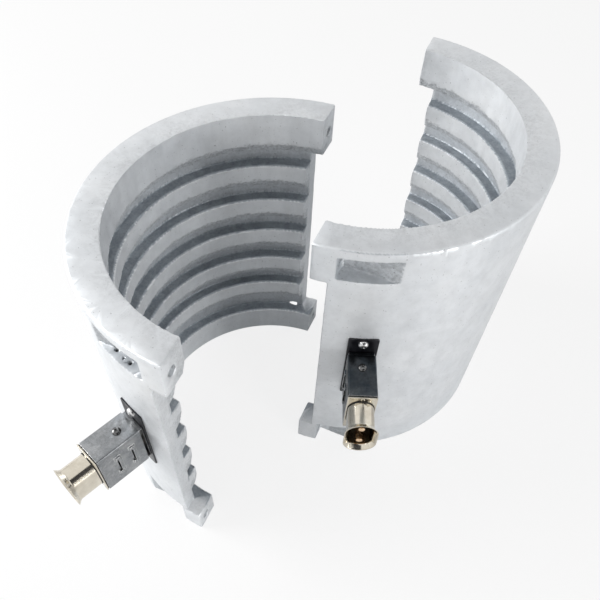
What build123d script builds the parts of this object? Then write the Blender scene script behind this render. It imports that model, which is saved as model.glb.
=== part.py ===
from build123d import *
from math import atan2, degrees, sqrt
import os

# Two-piece cast aluminium band heater, stood on its bottom face with its halves apart.
# Origin: the left half's bore axis at the floor. +Z up, split plane YZ, boxes towards -Y.

# Castings
casting_height = 296.0
bore_radius = 128.0
wall = 27.0
groove_depth = 12.0
edge_chamfer = 1.2

# Ribs in the bore: a plain land at each end, air grooves between
top_land = 41.0
bottom_land = 31.5
groove_height = 12.5
groove_count = 5
last_groove_height = 22.0
rib_taper_height = 11.0
rib_taper_depth = 4.0
rib_underside_drop = 3.0
rib_tip_chamfer = 2.2

# Split ends: full-width lugs top and bottom, wall end set back between them
split_setback = 6.4
recess_setback = 20.7
top_lug_height = 38.0
bolt_inset = 12.0
bolt_hole_radius = 4.75
bolt_seat_setback = 26.5
bolt_head_radius = 7.0
pocket_rim = 9.0
top_pocket_height = 23.0
bottom_pocket_height = 35.0
bottom_bolt_height = 13.0

# Place of the halves: the right one stands off along the split as well as across it
right_shift_x = 33.9
right_shift_y = 142.6

# Terminal box, in its own frame: X outward from the bore axis, Y sideways, Z up
box_angle = 68.5
box_centre_height = 152.0
box_length = 42.4
box_margin = 0.8
sheet = 1.0
cover_gap = 4.0
cover_clearance = 0.1
bend_radius = 1.6

# Mounting strip between box and casting
strip_sheet = 1.5
strip_overhang = 0.8
tab_height = 17.0
seat_depth = 0.6

# Louvres in the cover's sides
louvre_length = 28.0
louvre_width = 6.5
louvre_rise = 1.6
louvre_slope = 35.0
louvre_pitch = 14.4
louvre_offset = -3.0

# Plug inlet: a deep-drawn oval shell with a turned-out mouth
shell_width = 22.8
shell_height = 37.6
shell_wall = 1.1
shell_length = 25.6
mouth_flare = 3.2
mouth_flare_length = 4.0
flange_side = 1.3
flange_rim = 5.4
flange_sheet = 1.2
gasket_sheet = 0.8
gasket_inset = 0.5
seal_width = 0.5
seal_height = 0.9
insert_face = 4.0
insert_depth = 8.0
insert_shoulder = 3.0
insert_boss_reach = 2.0
pin_radius = 3.0
pin_pitch = 19.0
pin_reach = 3.0
pin_tip_chamfer = 0.8
fit_gap = 0.15

# Element ends, insulators and terminals
element_radius = 4.0
element_embed = 10.0
element_stub = 7.0
bead_radius = 4.6
bead_length = 4.0
stud_radius = 2.0
stud_reach = 12.0
nut_across = 7.0
nut_height = 3.0
wire_radius = 0.9
lead_clearance = 0.1
tail_radius = 1.7
tail_length = 7.0

# Fasteners
strip_screw_radius = 2.5
strip_screw_head = 4.6
strip_screw_rise = 3.2
strip_screw_length = 9.0
strip_screw_inset = 7.0
cover_screw_radius = 2.0
cover_screw_head = 3.9
cover_screw_rise = 2.4
cover_screw_length = 5.0
cover_screw_place = 13.6
rivet_radius = 1.2
rivet_head = 1.9
rivet_rise = 0.8

# Derived places
outer_radius = bore_radius + wall
groove_radius = bore_radius + groove_depth
rib_pitch = (casting_height - top_land - bottom_land - last_groove_height) / groove_count
bolt_line = outer_radius - bolt_inset
element_root = outer_radius - element_embed
element_spacing = pin_pitch + nut_across + 2 * (wire_radius + lead_clearance)
flange_height = shell_height + 2 * flange_rim
box_width = shell_width + 2 * flange_side
box_height = flange_height + 2 * box_margin
strip_height = box_height + 2 * tab_height
seat_radius = outer_radius - seat_depth
strip_face = seat_radius + strip_sheet
cover_start = strip_face + cover_gap
box_end = cover_start + box_length
pocket_floor = bolt_line - bolt_head_radius
top_bolt_height = casting_height - pocket_rim - top_pocket_height / 2
flange_start = box_end + gasket_sheet
flange_face = flange_start + flange_sheet
mouth = flange_face + shell_length
flare_start = mouth - mouth_flare_length
flare_angle = degrees(atan2(mouth_flare, mouth_flare_length))
box_top = box_centre_height + box_height / 2
box_bottom = box_centre_height - box_height / 2
frame_width = box_width - 2 * (sheet + cover_clearance)
strip_width = box_width + 2 * strip_overhang
strip_screw_offset = strip_height / 2 - strip_screw_inset
end_plate_face = box_end - fit_gap
insert_front = flange_face + insert_face
insert_back = end_plate_face - sheet - insert_boss_reach
bead_start = strip_face + element_stub
stud_end = bead_start + bead_length + stud_reach
nut_seat = bead_start + bead_length


def bar(radius, start, length, y=0.0, z=0.0):
    """Round bar along X."""
    return Pos(start + length / 2, y, z) * Rot(0, 90, 0) * Cylinder(radius, length)


def post(radius, bottom, height, x=0.0, y=0.0):
    """Round bar along Z."""
    return Pos(x, y, bottom + height / 2) * Cylinder(radius, height)


def block(x0, x1, y0, y1, z0, z1):
    return Pos((x0 + x1) / 2, (y0 + y1) / 2, (z0 + z1) / 2) * Box(x1 - x0, y1 - y0, z1 - z0)


def upright(start):
    """Sketch plane facing outward along X, with its own X sideways and Y up."""
    return Plane(origin=(start, 0, box_centre_height), x_dir=(0, 1, 0), z_dir=(1, 0, 0))


def oval(width, height, start, length, taper=0.0):
    """Upright oval bar along X."""
    outline = upright(start) * Rot(0, 0, 90) * SlotOverall(height, width)
    return extrude(outline, amount=length, taper=taper)


def bore_profile():
    """Half section of the casting, radius along X."""
    tip = rib_tip_chamfer
    tops = [casting_height - top_land - i * rib_pitch for i in range(groove_count)]
    grooves = [(top, top - groove_height) for top in tops]
    grooves.append((bottom_land + last_groove_height, bottom_land))
    points = [(outer_radius, edge_chamfer), (outer_radius, casting_height - edge_chamfer)]
    points += [(outer_radius - edge_chamfer, casting_height), (bore_radius, casting_height)]
    for top, bottom in grooves:
        points.append((bore_radius, top + rib_taper_height))
        points.append((bore_radius + rib_taper_depth, top + rib_underside_drop))
        points.append((groove_radius, top))
        points.append((groove_radius, bottom))
        points.append((bore_radius + tip, bottom))
        points.append((bore_radius, bottom - tip))
    points += [(bore_radius, 0), (outer_radius - edge_chamfer, 0)]
    return make_face(Plane.XZ * Polyline(*points, close=True))


def bolt_pocket(side, bottom, top):
    """Flat-bottomed pocket that seats a clamp bolt's head square to the split."""
    reach = outer_radius + 1
    low, high = sorted((side * pocket_floor, side * reach))
    return block(-reach, -bolt_seat_setback, low, high, bottom, top)


def casting():
    half = Rot(0, 0, 90) * revolve(bore_profile(), Axis.Z, 180)
    reach = outer_radius + 1
    half -= block(-split_setback, reach, -reach, reach, -1, casting_height + 1)
    lug_top = casting_height - top_lug_height
    half -= block(-recess_setback, reach, -reach, reach, bottom_land, lug_top)
    for side in (-1, 1):
        top = casting_height - pocket_rim
        half -= bolt_pocket(side, top - top_pocket_height, top)
        half -= bolt_pocket(side, -1, bottom_pocket_height)
        for height in (bottom_bolt_height, top_bolt_height):
            half -= bar(bolt_hole_radius, -bolt_seat_setback - 1, bolt_seat_setback, side * bolt_line, height)
    side_reach = sqrt(outer_radius**2 - seat_radius**2) + 1
    seat_cut = block(seat_radius, outer_radius + 1, -side_reach, side_reach, 0, strip_height)
    half -= on_left(Pos(0, 0, box_centre_height - strip_height / 2) * seat_cut)
    for height in element_heights():
        half -= on_left(bar(element_radius, element_root, outer_radius - element_root, z=height))
    for height in strip_screw_heights():
        depth = strip_screw_length + 1
        half -= on_left(bar(strip_screw_radius, seat_radius - depth, depth + 1, z=height))
    return half


def element_heights():
    return [box_centre_height - element_spacing / 2, box_centre_height + element_spacing / 2]


def strip_screw_heights():
    return [box_centre_height - strip_screw_offset, box_centre_height + strip_screw_offset]


def pin_heights():
    return [box_centre_height - pin_pitch / 2, box_centre_height + pin_pitch / 2]


def element_ends():
    """Sheathed ends of the cast-in element, standing out of the wall into the box."""
    length = bead_start - element_root
    return [bar(element_radius, element_root, length, z=h) for h in element_heights()]


def element_beads():
    ring = bar(bead_radius, bead_start, bead_length) - bar(stud_radius, bead_start - 1, bead_length + 2)
    return [Pos(0, 0, h) * ring for h in element_heights()]


def element_studs():
    length = stud_end - bead_start
    return [bar(stud_radius, bead_start, length, z=h) for h in element_heights()]


def terminal_nuts():
    """Hexagon nut on each stud, flats towards the leads."""
    hexagon = Plane.YZ * RegularPolygon(nut_across / 2, 6, major_radius=False)
    nut = Pos(nut_seat + 2 * wire_radius, 0, 0) * extrude(hexagon, nut_height)
    nut -= bar(stud_radius, bead_start, stud_end - bead_start)
    return [Pos(0, 0, h) * nut for h in element_heights()]


def mounting_strip():
    strip = block(seat_radius, strip_face, -strip_width / 2, strip_width / 2, 0, strip_height)
    strip = Pos(0, 0, box_centre_height - strip_height / 2) * strip
    strip = chamfer(strip.edges().filter_by(Axis.X), 1.0)
    for height in strip_screw_heights():
        strip -= bar(strip_screw_radius, seat_radius - 1, strip_sheet + 2, z=height)
    for height in element_heights():
        strip -= bar(element_radius + fit_gap, seat_radius - 1, strip_sheet + 2, z=height)
    return strip


def button_head(radius, rise, start):
    """Low screw head with its flat face at start and a bevelled crown."""
    head = bar(radius, start, rise)
    return chamfer(head.edges().filter_by(GeomType.CIRCLE).sort_by(Axis.X)[-1], rise * 0.55)


def strip_screws():
    screw = button_head(strip_screw_head, strip_screw_rise, strip_face)
    screw += bar(strip_screw_radius, strip_face - strip_sheet - strip_screw_length, strip_screw_length + strip_sheet)
    return [Pos(0, 0, h) * screw for h in strip_screw_heights()]


def box_frame():
    """One bent strip: top flange, back wall, bottom and end plate."""
    half = frame_width / 2
    inner_top = box_top - sheet - cover_clearance
    back = strip_face + sheet
    flange_end = cover_start + cover_screw_place + 2.5 * cover_screw_radius
    profile = block(strip_face, back, -half, half, box_bottom, inner_top)
    profile += block(strip_face, flange_end, -half, half, inner_top - sheet, inner_top)
    profile += block(strip_face, end_plate_face, -half, half, box_bottom, box_bottom + sheet)
    profile += block(end_plate_face - sheet, end_plate_face, -half, half, box_bottom, inner_top)
    outer_bends = profile.edges().filter_by(Axis.Y).filter_by(
        lambda e: (abs(e.center().X - strip_face) < 0.01 or abs(e.center().X - end_plate_face) < 0.01)
        and (e.center().Z < box_bottom + 0.01 or e.center().X < back and e.center().Z > inner_top - 0.01)
    )
    profile = fillet(outer_bends, sheet * 0.9)
    top_corners = profile.edges().filter_by(Axis.X).filter_by(
        lambda e: e.center().Z > inner_top - 0.01 and abs(e.center().Y) > half - 0.01
    )
    profile = chamfer(top_corners, bend_radius - sheet)
    for height in element_heights():
        profile -= bar(element_radius + fit_gap, strip_face - 1, sheet + 2, z=height)
    profile -= insert_boss(2 * fit_gap, end_plate_face - sheet - 1, sheet + 2)
    for height in rivet_heights():
        profile -= bar(rivet_radius, end_plate_face - sheet - 1, sheet + 2, z=height)
    screw_x = cover_start + cover_screw_place
    profile -= post(cover_screw_radius, inner_top - sheet - 1, sheet + 2, x=screw_x)
    return profile


def insert_width():
    return shell_width - 2 * (shell_wall + fit_gap)


def insert_height():
    return shell_height - 2 * (shell_wall + fit_gap)


def insert_boss(clearance, start, length):
    """Square-cornered boss behind the insert, as high as its flat sides and pins need."""
    half_width = insert_width() / 2 - insert_shoulder + clearance / 2
    half_height = pin_pitch / 2 + pin_radius + clearance / 2
    low, high = box_centre_height - half_height, box_centre_height + half_height
    return block(start, start + length, -half_width, half_width, low, high)


def rivet_heights():
    offset = (flange_height / 2 + shell_height / 2 + seal_width) / 2
    return [box_centre_height - offset, box_centre_height + offset]


def louvre(rise, length, width):
    """Tapered hood standing out of a side sheet, lying on the XZ plane."""
    return extrude(Plane.XZ * Rectangle(width, length), amount=rise, taper=louvre_slope)


def box_cover():
    """Inverted U of bent sheet with two louvres in each side."""
    half = box_width / 2
    cover = block(cover_start, box_end - fit_gap, -half, half, box_bottom, box_top)
    cover = fillet(cover.edges().filter_by(Axis.X).group_by(Axis.Z)[-1], bend_radius)
    core = block(cover_start - 1, box_end + 1, sheet - half, half - sheet, box_bottom - 1, box_top - sheet)
    cover -= fillet(core.edges().filter_by(Axis.X).group_by(Axis.Z)[-1], bend_radius - sheet)
    hood = louvre(louvre_rise, louvre_length, louvre_width)
    hollow = louvre(louvre_rise - sheet * 0.6, louvre_length - 2 * sheet, louvre_width - 2 * sheet)
    slot = block(0, louvre_width, -louvre_rise - 1, 0, -louvre_length / 3, louvre_length / 3)
    hollow = hollow + block(-1, 1, -0.01, sheet + 1, -louvre_length / 3, louvre_length / 3)
    middle = (cover_start + box_end) / 2 + louvre_offset
    for step in (-0.5, 0.5):
        place = Pos(middle + step * louvre_pitch, -half, box_centre_height)
        opening = slot & Pos(louvre_width / 4, 0, 0) * hood
        side = [place * hood, place * hollow, place * opening]
        other = [mirror(piece, Plane.XZ) for piece in side]
        cover = cover + side[0] + other[0] - side[1] - other[1]
        cover = cover - side[2] - other[2]
    screw_x = cover_start + cover_screw_place
    cover -= post(cover_screw_radius + fit_gap, box_top - sheet - 1, sheet + 2, x=screw_x)
    return cover


def cover_screw():
    head = button_head(cover_screw_head, cover_screw_rise, box_top)
    head = Rot(0, -90, 0) * head
    shank = post(cover_screw_radius, box_top - cover_screw_length, cover_screw_length)
    return Pos(cover_start + cover_screw_place, 0, 0) * (head + shank)


def plug_gasket():
    outline = upright(box_end) * Rectangle(box_width - 2 * gasket_inset, flange_height - 2 * gasket_inset)
    gasket = extrude(outline, gasket_sheet)
    gasket -= insert_boss(2 * fit_gap, box_end - 1, gasket_sheet + 2)
    for height in rivet_heights():
        gasket -= bar(rivet_radius, box_end - 1, gasket_sheet + 2, z=height)
    return gasket


def flared_oval(width, height, start):
    """Oval bar that opens out towards the plug shell's mouth."""
    straight = oval(width, height, start, flare_start - start)
    return straight + oval(width, height, flare_start, mouth_flare_length, taper=-flare_angle)


def plug_shell():
    """Flange and oval shell drawn in one piece, mouth turned outward."""
    shell = extrude(upright(flange_start) * Rectangle(box_width, flange_height), flange_sheet)
    shell += flared_oval(shell_width, shell_height, flange_face)
    shell -= oval(shell_width - 2 * shell_wall, shell_height - 2 * shell_wall, flange_start - 1, flange_sheet + 2)
    shell -= flared_oval(shell_width - 2 * shell_wall, shell_height - 2 * shell_wall, flange_face)
    for height in rivet_heights():
        shell -= bar(rivet_radius, flange_start - 1, flange_sheet + 2, z=height)
    return shell


def plug_seal():
    """Dark ring round the shell's root."""
    ring = oval(shell_width + 2 * seal_width, shell_height + 2 * seal_width, flange_face, seal_height)
    return ring - oval(shell_width, shell_height, flange_face - 1, seal_height + 2)


def plug_insert():
    """Moulded insulator that carries the pins, with a boss through the end plate."""
    body = oval(insert_width(), insert_height(), flange_start, insert_front - flange_start)
    body += insert_boss(0, insert_back, flange_start - insert_back)
    for height in pin_heights():
        body -= bar(pin_radius, pin_root(), insert_front, z=height)
        body -= bar(tail_radius, insert_back - 1, pin_root() - insert_back + 2, z=height)
    return body


def pin_root():
    return insert_front - insert_depth / 2


def plug_pins():
    pin = bar(pin_radius, pin_root(), mouth - pin_reach - pin_root())
    pin = chamfer(pin.edges().filter_by(GeomType.CIRCLE).sort_by(Axis.X)[-1], pin_tip_chamfer)
    pin += bar(tail_radius, insert_back - tail_length, pin_root() - insert_back + tail_length)
    return [Pos(0, 0, h) * pin for h in pin_heights()]


def rivets():
    start = end_plate_face - sheet - rivet_rise
    rivet = bar(rivet_radius, start, flange_face - start) + bar(rivet_head, flange_face, rivet_rise)
    return [Pos(0, 0, h) * rivet for h in rivet_heights()]


def wire_lead(side):
    """Sleeved lead, out from under a stud's nut and along to a pin's tail."""
    nut_side = box_centre_height + side * (element_spacing / 2 - stud_radius - fit_gap)
    run_height = box_centre_height + side * pin_pitch / 2
    under_nut = nut_seat + wire_radius
    path = Polyline((under_nut, 0, nut_side), (under_nut, 0, run_height), (insert_back - tail_length, 0, run_height))
    section = Plane(origin=path @ 0, z_dir=path % 0) * Circle(wire_radius)
    return sweep(section, path=path, transition=Transition.RIGHT)


def on_left(piece):
    """Box frame to the left half's place on the casting."""
    return Rot(0, 0, 180 + box_angle) * piece


def on_right(piece):
    """The right half is the left one's mirror image, standing off on its own bore axis."""
    return Pos(right_shift_x, right_shift_y, 0) * mirror(piece, Plane.YZ)


def write(name, pieces, boxed=True):
    solids = list(pieces) if isinstance(pieces, (list, tuple)) else [pieces]
    for side, place in (("left", lambda p: p), ("right", on_right)):
        placed = [place(on_left(piece) if boxed else piece) for piece in solids]
        shape = placed[0] if len(placed) == 1 else Compound(children=placed)
        export_step(shape, f"parts/{side}_{name}.step")


os.makedirs("parts", exist_ok=True)
write("casting", casting(), boxed=False)
write("element_ends", element_ends())
write("element_beads", element_beads())
write("element_studs", element_studs())
write("terminal_nuts", terminal_nuts())
write("mounting_strip", mounting_strip())
write("strip_screws", strip_screws())
write("box_frame", box_frame())
write("box_cover", box_cover())
write("cover_screw", cover_screw())
write("plug_gasket", plug_gasket())
write("plug_shell", plug_shell())
write("plug_seal", plug_seal())
write("plug_insert", plug_insert())
write("plug_pins", plug_pins())
write("plug_rivets", rivets())
write("lead_wires", [wire_lead(-1), wire_lead(1)])
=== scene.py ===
from math import cos, hypot, pi, radians, sin
import bmesh
import bpy
from mathutils import Matrix, Vector, noise


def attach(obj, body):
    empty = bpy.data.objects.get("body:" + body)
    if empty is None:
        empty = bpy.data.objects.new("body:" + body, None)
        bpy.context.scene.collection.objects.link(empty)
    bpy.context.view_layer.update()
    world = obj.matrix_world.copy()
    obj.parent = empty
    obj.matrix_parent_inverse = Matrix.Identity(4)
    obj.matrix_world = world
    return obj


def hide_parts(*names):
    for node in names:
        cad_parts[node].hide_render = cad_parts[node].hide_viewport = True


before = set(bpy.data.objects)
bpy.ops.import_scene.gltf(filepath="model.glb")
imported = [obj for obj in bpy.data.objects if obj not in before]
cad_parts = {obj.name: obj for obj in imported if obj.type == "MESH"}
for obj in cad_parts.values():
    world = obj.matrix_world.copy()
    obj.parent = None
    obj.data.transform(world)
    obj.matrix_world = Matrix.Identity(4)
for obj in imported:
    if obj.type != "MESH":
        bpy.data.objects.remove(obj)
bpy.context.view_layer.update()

# Castings: two half shells of gravity-cast aluminium. The bore is turned, which leaves lands
# and ribs; the ribs' undersides, the bolt pockets and the wall ends stay as the mould left them.
mm = 0.001
right_stand = Vector((33.9, 142.6, 0))
halves = (("left", Vector((0, 0, 0)), -1), ("right", right_stand, 1))
casting_height = 296.0
outer_radius = 155.0
bore_radius = 128.0
groove_radius = 140.0
groove_tops = [255.0 - 40.3 * i for i in range(5)] + [53.5]
groove_bottoms = [top - 12.5 for top in groove_tops[:5]] + [31.5]
taper_height = 11.0
ragged_height = 4.0
pocket_floor = 136.0
pocket_depth = 26.5
wall_setback = 20.7
skin_voxel = 1.05 * mm
casting_triangles = 190000
wall_foot, wall_head = 31.0, 258.5
pocket_rough, wall_end_rough = 0.8, 0.3
# How much painted shade each hollow gets: the grooves' ledges, their walls, the rib tapers and the
# bolt pockets.
ledge_shade, groove_wall_shade, taper_shade, pocket_shade = 1.0, 0.35, 0.2, 0.4
pocket_sill = 264.0
pore_reach, pore_sink = 3.0, 2.4
gas_pores = ((-57.0, -137.5, 1.6), (-42.3, -143.0, 1.8), (-48.9, -141.5, 0.9))


def copy_of(node, name):
    """A merged copy of a CAD node's mesh, to be worked on."""
    shape = bmesh.new()
    shape.from_mesh(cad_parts[node].data)
    bmesh.ops.remove_doubles(shape, verts=shape.verts, dist=0.002 * mm)
    mesh = bpy.data.meshes.new(name)
    shape.to_mesh(mesh)
    shape.free()
    for layer in ("custom_normal", "sharp_face"):
        if mesh.attributes.get(layer):
            mesh.attributes.remove(mesh.attributes[layer])
    mesh.materials.clear()
    piece = bpy.data.objects.new(name, mesh)
    bpy.context.scene.collection.objects.link(piece)
    return piece


def apply_modifiers(piece):
    bpy.context.view_layer.update()
    shown = piece.evaluated_get(bpy.context.evaluated_depsgraph_get())
    piece.data = bpy.data.meshes.new_from_object(shown)
    piece.modifiers.clear()


def shade(piece, crisp=38):
    """Smooth shading, with an edge kept crisp where it turns by more than the given angle."""
    shape = bmesh.new()
    shape.from_mesh(piece.data)
    for face in shape.faces:
        face.smooth = True
    for edge in shape.edges:
        edge.smooth = len(edge.link_faces) == 2 and edge.calc_face_angle(0) < radians(crisp)
    shape.to_mesh(piece.data)
    shape.free()


def dress(piece, side, part, finish):
    """Gives a finished piece its material and its body, and hides the CAD node that it stands for.
    """
    piece.data.materials.append(finish)
    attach(piece, f"{side}_half")
    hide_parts(f"{side}_{part}")


def underside(point):
    """How rough a rib's underside is here, from 0 to 1, and the height over its groove."""
    for top in groove_tops:
        rise = point.z - top
        if 0 <= rise < taper_height + ragged_height:
            fade = 1 - max(0, rise - taper_height) / ragged_height
            return fade, rise
    return 0, 0


def mould_roughness(point, back):
    """From 0 on turned faces to 1 on rough ones; point is in millimetres from the bore axis."""
    radius = hypot(point.x, point.y)
    depth = point.x * back
    if radius < groove_radius + 0.6:
        fade, rise = underside(point)
        if fade and radius > bore_radius + 0.12:
            return 1 if radius < groove_radius - 0.5 else 0.6
        if radius > bore_radius + 1:
            return 0.4
    if depth > pocket_depth - 0.8 and pocket_floor - 0.8 < abs(point.y) < pocket_floor + 0.8:
        return pocket_rough if radius < outer_radius - 0.3 else 0
    if depth < wall_setback + 0.8 and wall_foot < point.z < wall_head:
        return wall_end_rough
    return 0


def cast_skin(point, back):
    """Where a point of the skin really lies: turned faces are true, the rest wanders."""
    radius = hypot(point.x, point.y)
    seed = Vector((0, 0, 400 * back))
    swell = noise.fractal(point * 0.06 + seed, 0.8, 2.1, 3)
    grit = noise.fractal(point * 0.45 - seed, 0.9, 2.2, 3)
    rough = mould_roughness(point, back)
    goal = radius
    if radius < groove_radius + 0.6:
        fade, rise = underside(point)
        if fade:
            stray = fade * (0.5 * swell + 0.6 * grit) - 0.08 * max(0, rise - taper_height)
            goal = max(bore_radius + 0.05 * swell, radius + stray)
        elif radius > bore_radius + 1:
            goal = radius + 0.3 * swell + 0.12 * grit
        else:
            goal = bore_radius + 0.05 * swell + 0.02 * grit
    elif rough == pocket_rough:
        side = 1 if point.y > 0 else -1
        return point + Vector((0, side * (0.5 * swell + 0.45 * grit), 0))
    elif rough == wall_end_rough:
        return point - Vector((back * 0.3 * swell, 0, 0))
    elif abs(radius - outer_radius) < 0.25:
        goal = outer_radius - 0.04 + 0.07 * swell
    scale = goal / radius
    return Vector((point.x * scale, point.y * scale, point.z))


def turned_part(point):
    """1 on the bore's lands and rib faces, where the tool passed."""
    return 1.0 if hypot(point.x, point.y) < bore_radius + 0.35 else 0.0


def painted_shade_part(point):
    """How much painted shade a point gets: most on the grooves' ledges, less in their walls and
    the pockets.
    """
    radius = hypot(point.x, point.y)
    if radius < bore_radius + 0.6:
        return 0.0
    if radius > groove_radius + 0.8:
        in_pocket = (radius < outer_radius - 0.3 and abs(point.y) > pocket_floor - 0.6
                     and abs(point.x) > pocket_depth - 0.6
                     and 0.5 < point.z < casting_height - 0.5)
        return pocket_shade if in_pocket else 0.0
    for top, bottom in zip(groove_tops, groove_bottoms):
        if abs(point.z - bottom) < 1.0:
            return ledge_shade
        if bottom < point.z < top + taper_height:
            return groove_wall_shade if point.z < top else taper_shade
    return 0.0


def pore_depth(point):
    """1 at the middle of a gas pore in the left pocket's sill, falling to 0 at its rim."""
    if abs(point.z - pocket_sill) > pore_reach:
        return 0.0
    return max(max(0.0, 1 - hypot(point.x - x, point.y - y) / size) for x, y, size in gas_pores)


def socket_of(made, name):
    return made.inputs[name if isinstance(name, int) else name.replace("_", " ")]


def node(tree, kind, values=(), **named):
    """A shader node with each socket set to a value or linked to another node's output."""
    made = tree.nodes.new(kind)
    for name, value in [*enumerate(values), *named.items()]:
        if isinstance(value, bpy.types.NodeSocket):
            tree.links.new(value, socket_of(made, name))
        else:
            socket_of(made, name).default_value = value
    return made


def blend(tree, how, factor, first, second):
    made = tree.nodes.new("ShaderNodeMix")
    made.data_type = "RGBA"
    made.blend_type = how
    for place, value in ((0, factor), (6, first), (7, second)):
        if isinstance(value, bpy.types.NodeSocket):
            tree.links.new(value, made.inputs[place])
        else:
            made.inputs[place].default_value = value
    return made.outputs[2]


def ramp(tree, value, *stops):
    """Colour by value; each stop is its place and its colour."""
    made = tree.nodes.new("ShaderNodeValToRGB")
    tree.links.new(value, made.inputs["Fac"])
    points = made.color_ramp.elements
    while len(points) < len(stops):
        points.new(0.5)
    for point, (place, colour) in zip(points, stops):
        point.position = place
        point.color = (*colour, 1)
    return made.outputs["Color"]


def between(tree, value, low, high):
    """A noise value spread from low to high."""
    return node(tree, "ShaderNodeMapRange", (value, 0.3, 0.7, low, high)).outputs[0]


def grey(level, cool=0.0):
    return (level - cool, level, level + cool)


def finish_named(name):
    """A new material, its node tree, its shader and the place on the object."""
    material = bpy.data.materials.new(name)
    material.use_nodes = True
    tree = material.node_tree
    place = tree.nodes.new("ShaderNodeTexCoord").outputs["Object"]
    return material, tree, tree.nodes["Principled BSDF"], place


def attribute(tree, name):
    made = tree.nodes.new("ShaderNodeAttribute")
    made.attribute_name = name
    return made.outputs["Fac"]


def cloudy(tree, place, scale, detail, roughness):
    """A cloudy pattern of the given scale, with values round 0.5."""
    made = node(tree, "ShaderNodeTexNoise", Vector=place, Scale=scale, Detail=detail,
                Roughness=roughness)
    return made.outputs["Fac"]


def bumps(tree, height, strength, distance, under=None):
    """Surface normals raised by a height, over other bumps where given."""
    made = node(tree, "ShaderNodeBump", Height=height, Strength=strength, Distance=distance)
    if under:
        tree.links.new(under, made.inputs["Normal"])
    return made.outputs["Normal"]


def cast_aluminium():
    material, tree, shader, place = finish_named("cast_aluminium")
    rough = attribute(tree, "rough_cast")
    turned = attribute(tree, "turned")
    clouds = cloudy(tree, place, 16.0, 4.0, 0.6)
    mottle = cloudy(tree, place, 95.0, 7.0, 0.68)
    grain = cloudy(tree, place, 1400.0, 3.0, 0.6)
    crust = cloudy(tree, place, 380.0, 5.0, 0.75)
    specks = cloudy(tree, place, 520.0, 2.0, 0.5)
    rings = node(tree, "ShaderNodeMapping", Vector=place, Scale=(1, 1, 22)).outputs[0]
    tool_lines = cloudy(tree, rings, 34.0, 4.0, 0.6)
    falls = node(tree, "ShaderNodeMapping", Vector=place, Scale=(1, 1, 0.16)).outputs[0]
    streaks = cloudy(tree, falls, 70.0, 3.0, 0.6)
    tone = ramp(tree, clouds, (0.3, grey(0.72, 0.022)), (0.7, grey(0.80, 0.016)))
    patches = ramp(tree, mottle, (0.34, grey(0.92)), (0.60, grey(1.0)))
    tone = blend(tree, "MULTIPLY", 1.0, tone, patches)
    runs = ramp(tree, streaks, (0.35, grey(0.94)), (0.62, grey(1.0)))
    tone = blend(tree, "MULTIPLY", turned, tone, runs)
    pits = ramp(tree, specks, (0.26, grey(0.35)), (0.31, grey(1.0)))
    tone = blend(tree, "MULTIPLY", 0.6, tone, pits)
    soot = ramp(tree, crust, (0.36, grey(0.70)), (0.58, grey(1.0)))
    tone = blend(tree, "MIX", rough, tone, blend(tree, "MULTIPLY", 1.0, tone, soot))
    # Painted shade: the grooves' ledges and walls, the rib tapers and the bolt pockets are painted
    # darker by the mark "groove", where shade falls in the hollows.
    shadow = ramp(tree, mottle, (0.34, grey(0.42, 0.03)), (0.66, grey(0.55, 0.03)))
    shaded_tone = blend(tree, "MULTIPLY", 1.0, tone, shadow)
    tone = blend(tree, "MIX", attribute(tree, "groove"), tone, shaded_tone)
    # Painted shade: the gas pores are painted near-black, for the shade deep inside each pit.
    tone = blend(tree, "MIX", attribute(tree, "pore"), tone, (0.012, 0.012, 0.014, 1))
    tree.links.new(tone, shader.inputs["Base Color"])
    shader.inputs["Metallic"].default_value = 0.7
    tree.links.new(between(tree, mottle, 0.44, 0.56), shader.inputs["Roughness"])
    fine = bumps(tree, grain, 0.25, 0.0002)
    lines = bumps(tree, tool_lines, turned, 0.00012, fine)
    tree.links.new(bumps(tree, crust, rough, 0.0007, lines), shader.inputs["Normal"])
    return material


cast_finish = cast_aluminium()
for side, stand, back in halves:
    true_form = copy_of(f"{side}_casting", f"{side}_true_form")
    casting = copy_of(f"{side}_casting", f"{side}_half_shell")
    skin = casting.modifiers.new("skin", "REMESH")
    skin.mode = "VOXEL"
    skin.voxel_size = skin_voxel
    soften = casting.modifiers.new("soften", "SMOOTH")
    soften.factor = 0.5
    soften.iterations = 2
    draw = casting.modifiers.new("draw to the true form", "SHRINKWRAP")
    draw.target = true_form
    apply_modifiers(casting)
    bpy.data.objects.remove(true_form)
    for vertex in casting.data.vertices:
        vertex.co = cast_skin(vertex.co / mm - stand, back) * mm + stand * mm
    if side == "left":
        for vertex in casting.data.vertices:
            vertex.co.z -= pore_sink * mm * pore_depth(vertex.co / mm) ** 0.5
    thin = casting.modifiers.new("thin", "DECIMATE")
    thin.ratio = min(1.0, casting_triangles / (2 * len(casting.data.polygons)))
    apply_modifiers(casting)
    # The marks "groove" and "pore" say where the finish paints shade; "rough_cast" and "turned"
    # say how a face was made.
    for name, measure in (("rough_cast", lambda p: mould_roughness(p, back)),
                          ("turned", turned_part), ("groove", painted_shade_part),
                          ("pore", lambda p: min(1.0, 3 * pore_depth(p)))):
        marks = casting.data.attributes.new(name, "FLOAT", "POINT")
        levels = [measure(v.co / mm - stand) for v in casting.data.vertices]
        marks.data.foreach_set("value", levels)
    shade(casting)
    dress(casting, side, "casting", cast_finish)

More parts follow.
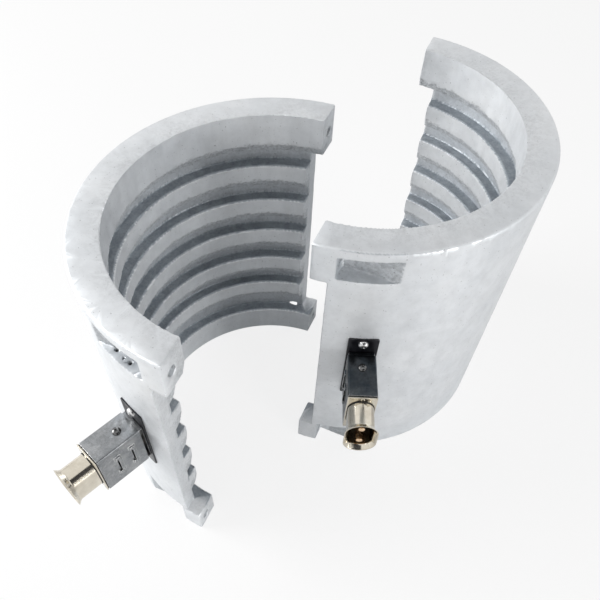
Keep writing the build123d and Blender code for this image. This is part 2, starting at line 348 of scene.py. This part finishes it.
# Mounting strips: a blackened steel strip screwed flat on each casting, which carries the
# terminal box. Sheared from sheet, with clipped corners.
def break_edges(piece, width, segments=2, angle=28, chosen=None):
    """Rounds a part's edges, all that turn or those chosen."""
    shape = bmesh.new()
    shape.from_mesh(piece.data)
    edge_wear_and_highlight = shape.faces.layers.float.get("edge_wear_and_highlight") or shape.faces.layers.float.new("edge_wear_and_highlight")
    bmesh.ops.dissolve_limit(shape, angle_limit=radians(0.4), verts=shape.verts, edges=shape.edges)
    paired = [e for e in shape.edges if len(e.link_faces) == 2]
    turning = [e for e in paired if e.calc_face_angle(0) > radians(angle)]
    if chosen:
        turning = [e for e in turning if chosen(e)]
    made = bmesh.ops.bevel(shape, geom=turning, offset=width * mm, segments=segments, profile=0.5,
                           affect="EDGES", material=-1, clamp_overlap=True)
    # The rounded faces carry the mark for edge wear and a painted highlight, which the finishes
    # paint lighter.
    for face in made["faces"]:
        face[edge_wear_and_highlight] = 1.0
    shape.to_mesh(piece.data)
    shape.free()


def blackened_steel():
    material, tree, shader, place = finish_named("blackened_steel")
    cloth = cloudy(tree, place, 160.0, 5.0, 0.6)
    tone = ramp(tree, cloth, (0.35, (0.006, 0.006, 0.009)), (0.7, (0.018, 0.019, 0.024)))
    # Rounded edges are painted lighter: partly rubbed bare, partly a painted highlight.
    rubbed_and_highlit = blend(tree, "MIX", between(tree, cloth, 0.0, 0.7), tone, (0.22, 0.22, 0.23, 1))
    tone = blend(tree, "MIX", attribute(tree, "edge_wear_and_highlight"), tone, rubbed_and_highlit)
    tree.links.new(tone, shader.inputs["Base Color"])
    shader.inputs["Metallic"].default_value = 0.6
    tree.links.new(between(tree, cloth, 0.28, 0.42), shader.inputs["Roughness"])
    tree.links.new(bumps(tree, cloth, 0.15, 0.0002), shader.inputs["Normal"])
    return material


black_finish = blackened_steel()
for side in ("left", "right"):
    strip = copy_of(f"{side}_mounting_strip", f"{side}_strip")
    break_edges(strip, 0.15)
    shade(strip)
    dress(strip, side, "mounting_strip", black_finish)

# Screws: zinc-plated steel, button-headed with a cross recess. Two hold each strip to its
# casting; one holds each box cover to the frame.
box_turn = Matrix.Rotation(radians(180 + 68.5), 4, "Z")
box_height = 152.0
strip_face = 155.9
cover_top = 177.0
strip_screw_lift = 35.0
cover_screw_reach = 173.5


def on_half(shape, side):
    """Moves what was built in millimetres, with X outward, to its place at a half's box."""
    bmesh.ops.transform(shape, matrix=box_turn, verts=shape.verts)
    if side == "right":
        bmesh.ops.scale(shape, vec=(-1, 1, 1), verts=shape.verts)
        bmesh.ops.translate(shape, vec=right_stand, verts=shape.verts)
    bmesh.ops.scale(shape, vec=(mm, mm, mm), verts=shape.verts)
    bmesh.ops.recalc_face_normals(shape, faces=shape.faces)


def piece_from(shape, name):
    mesh = bpy.data.meshes.new(name)
    shape.to_mesh(mesh)
    shape.free()
    piece = bpy.data.objects.new(name, mesh)
    bpy.context.scene.collection.objects.link(piece)
    return piece


def add(shape, mesh, place):
    """Adds a mesh to a shape, moved by the given matrix."""
    count = len(shape.verts)
    shape.from_mesh(mesh)
    shape.verts.ensure_lookup_table()
    bmesh.ops.transform(shape, matrix=place, verts=shape.verts[count:])


def whole(shape):
    return [*shape.verts, *shape.edges, *shape.faces]


def screw(head_radius, head_rise, shank_radius, shank_length):
    """The mesh of a screw that points down, with its head standing on z = 0."""
    shape = bmesh.new()
    bmesh.ops.create_uvsphere(shape, u_segments=64, v_segments=32, radius=head_radius)
    bmesh.ops.scale(shape, vec=(1, 1, head_rise / head_radius), verts=shape.verts)
    bmesh.ops.bisect_plane(shape, geom=whole(shape), dist=0.0001, plane_co=(0, 0, 0),
                           plane_no=(0, 0, 1), clear_inner=True)
    rim = [e for e in shape.edges if len(e.link_faces) == 1]
    seat = bmesh.ops.contextual_create(shape, geom=rim)["faces"]
    bmesh.ops.inset_region(shape, faces=seat, thickness=head_radius - shank_radius)
    shank = bmesh.ops.extrude_discrete_faces(shape, faces=seat)["faces"]
    bmesh.ops.translate(shape, vec=(0, 0, -shank_length), verts=shank[0].verts)
    bmesh.ops.bevel(shape, geom=shank[0].edges, offset=0.5, segments=2, profile=0.5,
                    affect="EDGES", material=-1)
    bmesh.ops.recalc_face_normals(shape, faces=shape.faces)
    fastener = piece_from(shape, "screw")
    cross = bmesh.new()
    for turn in (0, pi / 2):
        arm = bmesh.ops.create_cube(cross, size=1)["verts"]
        bmesh.ops.scale(cross, vec=(head_radius * 1.15, head_radius * 0.24, head_rise), verts=arm)
        foot = [v for v in arm if v.co.z < 0]
        bmesh.ops.scale(cross, vec=(0.35, 0.7, 1), verts=foot)
        bmesh.ops.rotate(cross, matrix=Matrix.Rotation(turn, 3, "Z"), verts=arm)
        bmesh.ops.translate(cross, vec=(0, 0, head_rise * 0.88), verts=arm)
    driver = piece_from(cross, "driver")
    recess = fastener.modifiers.new("recess", "BOOLEAN")
    recess.operation = "DIFFERENCE"
    recess.solver = "EXACT"
    recess.use_self = True
    recess.object = driver
    apply_modifiers(fastener)
    bpy.data.objects.remove(driver)
    mesh = fastener.data
    bpy.data.objects.remove(fastener)
    return mesh


def plated_steel(name, dark, light):
    material, tree, shader, place = finish_named(name)
    film = cloudy(tree, place, 240.0, 4.0, 0.6)
    tone = ramp(tree, film, (0.3, grey(dark)), (0.7, grey(light)))
    tree.links.new(tone, shader.inputs["Base Color"])
    shader.inputs["Metallic"].default_value = 1.0
    tree.links.new(between(tree, film, 0.14, 0.26), shader.inputs["Roughness"])
    tree.links.new(bumps(tree, film, 0.08, 0.0002), shader.inputs["Normal"])
    return material


screw_finish = plated_steel("plated_steel", 0.56, 0.74)
dulled_screw = plated_steel("dulled_screw", 0.10, 0.22)
strip_screw = screw(4.6, 3.2, 2.5, 10.5)
cover_screw = screw(3.9, 2.4, 2.0, 5.0)
outward = Matrix.Rotation(pi / 2, 4, "Y")
for side in ("left", "right"):
    pair = bmesh.new()
    for lift, turn in ((-strip_screw_lift, 0.35), (strip_screw_lift, 1.1)):
        place = Matrix.Translation((strip_face, 0, box_height + lift)) @ outward
        add(pair, strip_screw, place @ Matrix.Rotation(turn, 4, "Z"))
    on_half(pair, side)
    screws = piece_from(pair, f"{side}_strip_screw_pair")
    shade(screws)
    dress(screws, side, "strip_screws", screw_finish)
    single = bmesh.new()
    place = Matrix.Translation((cover_screw_reach, 0, cover_top))
    add(single, cover_screw, place @ Matrix.Rotation(0.5, 4, "Z"))
    on_half(single, side)
    top_screw = piece_from(single, f"{side}_cover_fixing")
    shade(top_screw)
    dress(top_screw, side, "cover_screw", dulled_screw)

# Terminal boxes: a frame bent from one strip of zinc-coated sheet, under a cover bent to an
# inverted U, with two louvres pressed out of each side to let the heat go. The right box's
# sheet is the same finish painted far darker, a painted reflection of the dark that its top
# mirrors.
def zinc_sheet(name, dark, light):
    material, tree, shader, place = finish_named(name)
    bloom = cloudy(tree, place, 75.0, 5.0, 0.62)
    spangle = node(tree, "ShaderNodeTexVoronoi", Vector=place, Scale=420.0).outputs["Color"]
    drawn = node(tree, "ShaderNodeMapping", Vector=place, Scale=(1, 1, 0.05)).outputs[0]
    grain = cloudy(tree, drawn, 3200.0, 2.0, 0.5)
    tone = ramp(tree, bloom, (0.3, grey(dark, 0.012)), (0.7, grey(light, 0.008)))
    flecks = ramp(tree, spangle, (0.2, grey(0.82)), (0.8, grey(1.0)))
    tone = blend(tree, "MULTIPLY", 1.0, tone, flecks)
    # Rounded edges are painted lighter: partly rubbed bare, partly a painted highlight.
    rubbed_and_highlit = blend(tree, "MIX", between(tree, bloom, 0.55, 1.0), tone, (0.80, 0.80, 0.79, 1))
    tone = blend(tree, "MIX", attribute(tree, "edge_wear_and_highlight"), tone, rubbed_and_highlit)
    tree.links.new(tone, shader.inputs["Base Color"])
    shader.inputs["Metallic"].default_value = 1.0
    tree.links.new(between(tree, grain, 0.24, 0.36), shader.inputs["Roughness"])
    lines = bumps(tree, grain, 0.06, 0.0001)
    tree.links.new(bumps(tree, bloom, 0.12, 0.0006, lines), shader.inputs["Normal"])
    return material


sheet_finishes = {
    "left": zinc_sheet("zinc_sheet", 0.23, 0.38),
    # Painted reflection: the right box's sheet is painted far darker, for the dark that its top
    # mirrors.
    "right": zinc_sheet("zinc_sheet_painted_darker", 0.055, 0.11),
}
for side in ("left", "right"):
    for part, name in (("box_frame", "bent_frame"), ("box_cover", "louvred_cover")):
        sheet = copy_of(f"{side}_{part}", f"{side}_{name}")
        break_edges(sheet, 0.18, segments=3)
        shade(sheet)
        dress(sheet, side, part, sheet_finishes[side])

# Gasket and seal: black rubber sheet under the plug's flange, and a ring pushed over the
# shell down to the flange.
def rubber():
    material, tree, shader, place = finish_named("black_rubber")
    dust = cloudy(tree, place, 300.0, 5.0, 0.7)
    tone = ramp(tree, dust, (0.4, grey(0.008)), (0.75, grey(0.030)))
    tree.links.new(tone, shader.inputs["Base Color"])
    tree.links.new(between(tree, dust, 0.55, 0.75), shader.inputs["Roughness"])
    tree.links.new(bumps(tree, dust, 0.3, 0.0002), shader.inputs["Normal"])
    return material


rubber_finish = rubber()
for side in ("left", "right"):
    for part, name in (("plug_gasket", "flange_gasket"), ("plug_seal", "root_ring")):
        soft = copy_of(f"{side}_{part}", f"{side}_{name}")
        break_edges(soft, 0.12)
        shade(soft)
        dress(soft, side, part, rubber_finish)

# Plug shells: flange and oval shell deep-drawn in one piece from nickel-plated sheet, with
# the mouth turned out to a rounded lip.
def nickel():
    material, tree, shader, place = finish_named("nickel_plate")
    film = cloudy(tree, place, 120.0, 4.0, 0.6)
    dust = cloudy(tree, place, 900.0, 3.0, 0.6)
    tone = ramp(tree, film, (0.3, (0.60, 0.55, 0.46)), (0.7, (0.73, 0.68, 0.58)))
    tree.links.new(tone, shader.inputs["Base Color"])
    shader.inputs["Metallic"].default_value = 1.0
    tree.links.new(between(tree, dust, 0.10, 0.20), shader.inputs["Roughness"])
    tree.links.new(bumps(tree, dust, 0.04, 0.0001), shader.inputs["Normal"])
    return material


nickel_finish = nickel()
flange_face = 204.3
flange_thickness = 1.2
flare_start = 225.9
mouth_edges = (229.9, 230.4)


def reach_of(edge, side):
    """How far out an edge lies along its box's axis, and whether it runs across that axis."""
    ends = []
    for vertex in edge.verts:
        point = vertex.co / mm
        if side == "right":
            point = point - right_stand
            point.x = -point.x
        ends.append(box_turn.inverted() @ point)
    return (ends[0].x + ends[1].x) / 2, abs(ends[0].x - ends[1].x) < 0.05


def near(edge, side, *places):
    """Whether an edge runs round the shell at one of the given reaches."""
    reach, across = reach_of(edge, side)
    return across and any(abs(reach - place) < 0.15 for place in places)


for side in ("left", "right"):
    shell = copy_of(f"{side}_plug_shell", f"{side}_inlet_shell")
    break_edges(shell, 1.2, 5, 8, lambda e: near(e, side, flare_start))
    break_edges(shell, 0.42, 4, 28, lambda e: near(e, side, *mouth_edges))
    break_edges(shell, 0.9, 4, 60,
                lambda e: near(e, side, flange_face) and e.calc_face_angle_signed(0) < 0)
    break_edges(shell, 0.2, 2, 60,
                lambda e: near(e, side, flange_face, flange_face - flange_thickness))
    shade(shell)
    dress(shell, side, "plug_shell", nickel_finish)

# Inserts: the moulded insulator that fills the shell's root and carries the pins, in a dark
# phenolic compound with a dull moulded skin.
def phenolic():
    material, tree, shader, place = finish_named("phenolic")
    speckle = cloudy(tree, place, 700.0, 4.0, 0.7)
    tone = ramp(tree, speckle, (0.35, (0.006, 0.004, 0.003)), (0.75, (0.022, 0.014, 0.010)))
    tree.links.new(tone, shader.inputs["Base Color"])
    tree.links.new(between(tree, speckle, 0.30, 0.45), shader.inputs["Roughness"])
    tree.links.new(bumps(tree, speckle, 0.12, 0.0001), shader.inputs["Normal"])
    return material


insulator_finish = phenolic()
for side in ("left", "right"):
    insert = copy_of(f"{side}_plug_insert", f"{side}_pin_insulator")
    break_edges(insert, 0.25, 3)
    shade(insert)
    dress(insert, side, "plug_insert", insulator_finish)

# Pins and rivets: turned brass contact pins with rounded ends, and small nickel-plated brass
# rivets above and below the shell that hold flange, gasket and end plate together.
pin_lift = 9.5
pin_tail, pin_shoulder, pin_end = 191.15, 206.3, 226.9
pin_radius, stem_radius = 3.0, 1.7
rivet_lift = 21.75
rivet_tail = 200.35
rivet_shank, rivet_head = 1.2, 1.9


def brass():
    material, tree, shader, place = finish_named("pin_brass")
    tarnish = cloudy(tree, place, 260.0, 4.0, 0.65)
    tone = ramp(tree, tarnish, (0.3, (0.62, 0.38, 0.20)), (0.7, (0.86, 0.66, 0.46)))
    tree.links.new(tone, shader.inputs["Base Color"])
    shader.inputs["Metallic"].default_value = 1.0
    tree.links.new(between(tree, tarnish, 0.16, 0.30), shader.inputs["Roughness"])
    tree.links.new(bumps(tree, tarnish, 0.08, 0.0002), shader.inputs["Normal"])
    return material


def turned_rod(shape, radii, place):
    """Adds a round piece along X, from steps of reach and radius, with its last edge rounded."""
    steps = [shape.verts.new((reach, 0, radius)) for reach, radius in radii]
    line = [shape.edges.new(pair) for pair in zip(steps, steps[1:])]
    before = set(shape.verts) - set(steps)
    bmesh.ops.spin(shape, geom=[*steps, *line], cent=(0, 0, 0), axis=(1, 0, 0), angle=2 * pi,
                   steps=48, use_merge=True)
    mine = [v for v in shape.verts if v not in before]
    bmesh.ops.remove_doubles(shape, verts=mine, dist=0.0001)
    mine = [v for v in shape.verts if v not in before]
    bmesh.ops.translate(shape, vec=place, verts=mine)


brass_finish = brass()
for side in ("left", "right"):
    contacts = bmesh.new()
    for lift in (-pin_lift, pin_lift):
        turned_rod(contacts, ((pin_tail, 0), (pin_tail, stem_radius), (pin_shoulder, stem_radius),
                              (pin_shoulder, pin_radius), (pin_end - 1.3, pin_radius),
                              (pin_end - 0.6, 2.8), (pin_end - 0.2, 2.2), (pin_end, 1.2),
                              (pin_end, 0)), (0, 0, box_height + lift))
    on_half(contacts, side)
    pins = piece_from(contacts, f"{side}_contact_pins")
    shade(pins)
    dress(pins, side, "plug_pins", brass_finish)
    heads = bmesh.new()
    for lift in (-rivet_lift, rivet_lift):
        turned_rod(heads, ((rivet_tail, 0), (rivet_tail, rivet_shank), (flange_face, rivet_shank),
                           (flange_face, rivet_head), (flange_face + 0.35, 1.85),
                           (flange_face + 0.65, 1.5), (flange_face + 0.8, 0.8),
                           (flange_face + 0.8, 0)), (0, 0, box_height + lift))
    on_half(heads, side)
    rivets = piece_from(heads, f"{side}_flange_rivets")
    shade(rivets)
    dress(rivets, side, "plug_rivets", nickel_finish)

# Inside each box: the sheathed ends of the cast-in element, their ceramic beads, the threaded
# studs with a nut on each, and a sleeved lead from each nut to a pin.
def plain_finish(name, dark, light, scale, gloss, metallic):
    """A finish of one colour range, mottled at the given scale."""
    material, tree, shader, place = finish_named(name)
    cloud = cloudy(tree, place, scale, 5.0, 0.65)
    tone = ramp(tree, cloud, (0.3, dark), (0.7, light))
    tree.links.new(tone, shader.inputs["Base Color"])
    shader.inputs["Metallic"].default_value = metallic
    tree.links.new(between(tree, cloud, *gloss), shader.inputs["Roughness"])
    tree.links.new(bumps(tree, cloud, 0.2, 0.0002), shader.inputs["Normal"])
    return material


def woven_sleeve():
    material, tree, shader, place = finish_named("glass_sleeving")
    weave = node(tree, "ShaderNodeTexChecker", Vector=place, Scale=1500.0).outputs["Fac"]
    fluff = cloudy(tree, place, 900.0, 4.0, 0.5)
    tone = ramp(tree, fluff, (0.3, (0.62, 0.58, 0.48)), (0.7, (0.80, 0.77, 0.68)))
    checks = ramp(tree, weave, (0.0, grey(0.5)), (1.0, grey(1.0)))
    tone = blend(tree, "MULTIPLY", 0.3, tone, checks)
    tree.links.new(tone, shader.inputs["Base Color"])
    shader.inputs["Roughness"].default_value = 0.85
    tree.links.new(bumps(tree, weave, 0.5, 0.0002), shader.inputs["Normal"])
    return material


inner_finishes = {
    "element_ends": plain_finish("element_steel", (0.10, 0.09, 0.08), (0.24, 0.22, 0.20),
                                 scale=220, gloss=(0.35, 0.55), metallic=1.0),
    "element_beads": plain_finish("bead_ceramic", (0.66, 0.62, 0.54), (0.80, 0.77, 0.70),
                                  scale=350, gloss=(0.35, 0.6), metallic=0.0),
    "element_studs": plain_finish("stud_steel", (0.38, 0.38, 0.38), (0.55, 0.55, 0.54),
                                  scale=400, gloss=(0.25, 0.4), metallic=1.0),
    "terminal_nuts": plain_finish("nut_steel", (0.45, 0.43, 0.36), (0.62, 0.60, 0.52),
                                  scale=300, gloss=(0.2, 0.35), metallic=1.0),
    "lead_wires": woven_sleeve(),
}
for side in ("left", "right"):
    for part, finish in inner_finishes.items():
        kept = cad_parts[f"{side}_{part}"]
        kept.data.materials.clear()
        kept.data.materials.append(finish)

# Studio: a pale floor and two soft lights, one high at the left and one low at the right. Dark
# cards, seen only in reflections, give the bright plugs and boxes something dark to mirror.
focal_pixels = 626.9
image_side = 600
centre_column, centre_row = 264.32, 381.94
camera_stand = (0.1536, -0.3305, 0.6281)
camera_heading = (-0.436, 0.900, 0)
camera_pitch = radians(57.06)
camera_roll = -0.0184
floor_whiteness = 0.8
world_light = 0.45


def stand_camera():
    heading = Vector(camera_heading).normalized()
    ahead = heading * cos(camera_pitch) - Vector((0, 0, sin(camera_pitch)))
    across = ahead.cross(Vector((0, 0, 1))).normalized()
    up = across.cross(ahead)
    right = across * cos(camera_roll) + up * sin(camera_roll)
    top = up * cos(camera_roll) - across * sin(camera_roll)
    turn = Matrix((right, top, -ahead)).transposed()
    lens = bpy.data.cameras.new("camera")
    lens.sensor_width = 36
    lens.lens = focal_pixels / image_side * lens.sensor_width
    lens.shift_x = (image_side / 2 - centre_column) / image_side
    lens.shift_y = (centre_row - image_side / 2) / image_side
    camera = bpy.data.objects.new("camera", lens)
    camera.matrix_world = Matrix.Translation(camera_stand) @ turn.to_4x4()
    bpy.context.scene.collection.objects.link(camera)
    bpy.context.scene.camera = camera


def softbox(name, place, size, power, aim=(0.05, 0.05, 0.12)):
    lamp = bpy.data.lights.new(name, "AREA")
    lamp.shape = "RECTANGLE"
    lamp.size, lamp.size_y = size
    lamp.energy = power
    made = bpy.data.objects.new(name, lamp)
    made.location = place
    made.rotation_euler = (Vector(aim) - Vector(place)).to_track_quat("-Z", "Y").to_euler()
    bpy.context.scene.collection.objects.link(made)


def card(name, place, size, finish, aim=None, shown=True):
    """A flat sheet that isn't part of the object, facing up or towards the given point."""
    shape = bmesh.new()
    bmesh.ops.create_grid(shape, x_segments=1, y_segments=1, size=0.5)
    bmesh.ops.scale(shape, vec=(*size, 1), verts=shape.verts)
    made = piece_from(shape, name)
    made.location = place
    if aim:
        made.rotation_euler = (Vector(aim) - Vector(place)).to_track_quat("Z", "Y").to_euler()
    made.visible_camera = made.visible_diffuse = made.visible_shadow = shown
    made.data.materials.append(finish)


stand_camera()
softbox("left_light", (-1.65, -0.55, 0.95), (1.2, 1.0), 35)
softbox("right_light", (1.7, -0.7, 0.35), (0.8, 0.6), 19)
floor_paint, tree, shader, place = finish_named("floor_paint")
shader.inputs["Base Color"].default_value = (0.90, 0.90, 0.90, 1)
shader.inputs["Roughness"].default_value = 0.9
white_paper = node(tree, "ShaderNodeEmission", Strength=1.0)
to_camera = tree.nodes.new("ShaderNodeLightPath").outputs["Is Camera Ray"]
share = node(tree, "ShaderNodeMath", (to_camera, floor_whiteness))
share.operation = "MULTIPLY"
layers = (share.outputs[0], shader.outputs[0], white_paper.outputs[0])
paper = node(tree, "ShaderNodeMixShader", layers)
tree.links.new(paper.outputs[0], tree.nodes["Material Output"].inputs["Surface"])
card("floor", (0, 0, -0.0003), (12, 12), floor_paint)
dark_cloth, tree, shader, place = finish_named("dark_cloth")
shader.inputs["Base Color"].default_value = (0.03, 0.03, 0.035, 1)
shader.inputs["Roughness"].default_value = 0.9
card("plug_card", (0.30, -0.32, 0.37), (0.56, 0.56), dark_cloth, (-0.08, -0.20, 0.15), shown=False)
card("box_card", (0.02, 0.62, 1.2), (0.55, 0.45), dark_cloth, (0.10, -0.02, 0.18), shown=False)
card("front_card", (0.42, -0.98, 1.25), (0.8, 0.5), dark_cloth, (0.02, 0.03, 0.15), shown=False)

world = bpy.data.worlds.new("studio")
bpy.context.scene.world = world
world.use_nodes = True
sky = world.node_tree
rays = sky.nodes.new("ShaderNodeLightPath")
seen = node(sky, "ShaderNodeMath", (rays.outputs["Is Camera Ray"], rays.outputs["Is Glossy Ray"]))
seen.operation = "MAXIMUM"
shown = node(sky, "ShaderNodeMath", (seen.outputs[0], rays.outputs["Is Transmission Ray"]))
shown.operation = "MAXIMUM"
level = node(sky, "ShaderNodeMapRange", (shown.outputs[0], 0.0, 1.0, world_light, 1.0)).outputs[0]
sky.nodes["Background"].inputs["Color"].default_value = (1, 1, 1, 1)
sky.links.new(level, sky.nodes["Background"].inputs["Strength"])
bpy.context.scene.view_settings.view_transform = "Standard"
